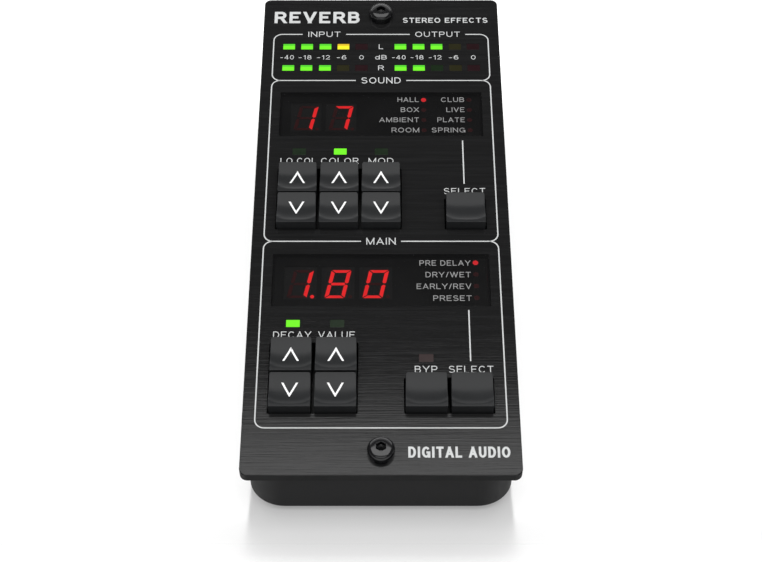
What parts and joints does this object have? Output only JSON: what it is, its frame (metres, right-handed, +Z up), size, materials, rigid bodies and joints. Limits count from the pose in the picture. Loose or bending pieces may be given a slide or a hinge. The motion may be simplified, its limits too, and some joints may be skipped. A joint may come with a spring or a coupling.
{
  "type": "desktop reverb control unit",
  "caption": "Sloped desktop effects unit: black brushed front plate with sprung scooped keys, smoked digit windows, level meter and status lamps on a wedge base.",
  "frame": {"origin": "on the table, under the centre of the unit's bounding box", "axes": "+Z up, +Y to the rear, where the front plate is highest, +X to the right seen from the front"},
  "size_m": [0.058, 0.1328, 0.0425],
  "materials": {
    "black_anodised": "brushed, black anodised",
    "base_plastic": "fine satin",
    "rubber": "matte",
    "black_screw": "gloss black oxide",
    "key_plastic": "satin",
    "smoked_lens": "clear, smoked",
    "digit_face": "satin",
    "digit_red": "lit",
    "lamp_green": "lit",
    "lamp_yellow": "lit",
    "lamp_red": "lit",
    "lamp_dark": "unlit lamp",
    "lamp_chip": "moulded",
    "ink_white": "printed ink",
    "ink_grey": "printed ink",
    "black_trim": "matte",
    "white_trim": "matte",
    "board": "black solder mask",
    "zinc_steel": "plated",
    "brass": "turned"
  },
  "bodies": {
    "chassis": {"base_shell": "base_plastic", "board_screws": "zinc_steel", "board_spacers": "zinc_steel", "control_board": "board", "display_driver": "black_trim", "flex_cable": "white_trim", "flex_connectors": "white_trim", "front_plate": "black_anodised", "main_digit_1": "digit_face", "main_digit_2": "digit_face", "main_digit_3": "digit_face", "main_mask": "black_trim", "main_window": "smoked_lens", "meter_lamps": "lamp_chip", "meter_light_bars": "lamp_green", "microcontroller": "black_trim", "mode_lamps": "lamp_red", "panel_screws": "black_screw", "rubber_feet": "rubber", "socket_board": "board", "socket_board_screws": "zinc_steel", "sound_digit_1": "digit_face", "sound_digit_2": "digit_face", "sound_mask": "black_trim", "sound_window": "smoked_lens", "status_lamps": "lamp_chip", "status_light_bars": "lamp_green", "switch_bodies": "black_trim", "threaded_inserts": "brass", "usb_shell": "zinc_steel", "usb_tongue": "black_trim"},
    "lo_color_up_key": {"lo_color_up_key": "key_plastic", "lo_color_up_stem": "black_trim"},
    "lo_color_down_key": {"lo_color_down_key": "key_plastic", "lo_color_down_stem": "black_trim"},
    "color_up_key": {"color_up_key": "key_plastic", "color_up_stem": "black_trim"},
    "color_down_key": {"color_down_key": "key_plastic", "color_down_stem": "black_trim"},
    "mod_up_key": {"mod_up_key": "key_plastic", "mod_up_stem": "black_trim"},
    "mod_down_key": {"mod_down_key": "key_plastic", "mod_down_stem": "black_trim"},
    "sound_select_key": {"sound_select_key": "key_plastic", "sound_select_stem": "black_trim"},
    "decay_up_key": {"decay_up_key": "key_plastic", "decay_up_stem": "black_trim"},
    "decay_down_key": {"decay_down_key": "key_plastic", "decay_down_stem": "black_trim"},
    "value_up_key": {"value_up_key": "key_plastic", "value_up_stem": "black_trim"},
    "value_down_key": {"value_down_key": "key_plastic", "value_down_stem": "black_trim"},
    "bypass_key": {"bypass_key": "key_plastic", "bypass_stem": "black_trim"},
    "main_select_key": {"main_select_key": "key_plastic", "main_select_stem": "black_trim"}
  },
  "joints": [
    {"name": "lo_color_up_press", "type": "slide", "parent": "chassis", "child": "lo_color_up_key", "axis": [0, 0.2079, -0.9781], "range_m": [0, 0.0008], "stiffness_N_per_m": 2500, "springref_m": -0.0002},
    {"name": "lo_color_down_press", "type": "slide", "parent": "chassis", "child": "lo_color_down_key", "axis": [0, 0.2079, -0.9781], "range_m": [0, 0.0008], "stiffness_N_per_m": 2500, "springref_m": -0.0002},
    {"name": "color_up_press", "type": "slide", "parent": "chassis", "child": "color_up_key", "axis": [0, 0.2079, -0.9781], "range_m": [0, 0.0008], "stiffness_N_per_m": 2500, "springref_m": -0.0002},
    {"name": "color_down_press", "type": "slide", "parent": "chassis", "child": "color_down_key", "axis": [0, 0.2079, -0.9781], "range_m": [0, 0.0008], "stiffness_N_per_m": 2500, "springref_m": -0.0002},
    {"name": "mod_up_press", "type": "slide", "parent": "chassis", "child": "mod_up_key", "axis": [0, 0.2079, -0.9781], "range_m": [0, 0.0008], "stiffness_N_per_m": 2500, "springref_m": -0.0002},
    {"name": "mod_down_press", "type": "slide", "parent": "chassis", "child": "mod_down_key", "axis": [0, 0.2079, -0.9781], "range_m": [0, 0.0008], "stiffness_N_per_m": 2500, "springref_m": -0.0002},
    {"name": "sound_select_press", "type": "slide", "parent": "chassis", "child": "sound_select_key", "axis": [0, 0.2079, -0.9781], "range_m": [0, 0.0008], "stiffness_N_per_m": 2500, "springref_m": -0.0002},
    {"name": "decay_up_press", "type": "slide", "parent": "chassis", "child": "decay_up_key", "axis": [0, 0.2079, -0.9781], "range_m": [0, 0.0008], "stiffness_N_per_m": 2500, "springref_m": -0.0002},
    {"name": "decay_down_press", "type": "slide", "parent": "chassis", "child": "decay_down_key", "axis": [0, 0.2079, -0.9781], "range_m": [0, 0.0008], "stiffness_N_per_m": 2500, "springref_m": -0.0002},
    {"name": "value_up_press", "type": "slide", "parent": "chassis", "child": "value_up_key", "axis": [0, 0.2079, -0.9781], "range_m": [0, 0.0008], "stiffness_N_per_m": 2500, "springref_m": -0.0002},
    {"name": "value_down_press", "type": "slide", "parent": "chassis", "child": "value_down_key", "axis": [0, 0.2079, -0.9781], "range_m": [0, 0.0008], "stiffness_N_per_m": 2500, "springref_m": -0.0002},
    {"name": "bypass_press", "type": "slide", "parent": "chassis", "child": "bypass_key", "axis": [0, 0.2079, -0.9781], "range_m": [0, 0.0008], "stiffness_N_per_m": 2500, "springref_m": -0.0002},
    {"name": "main_select_press", "type": "slide", "parent": "chassis", "child": "main_select_key", "axis": [0, 0.2079, -0.9781], "range_m": [0, 0.0008], "stiffness_N_per_m": 2500, "springref_m": -0.0002}
  ]
}
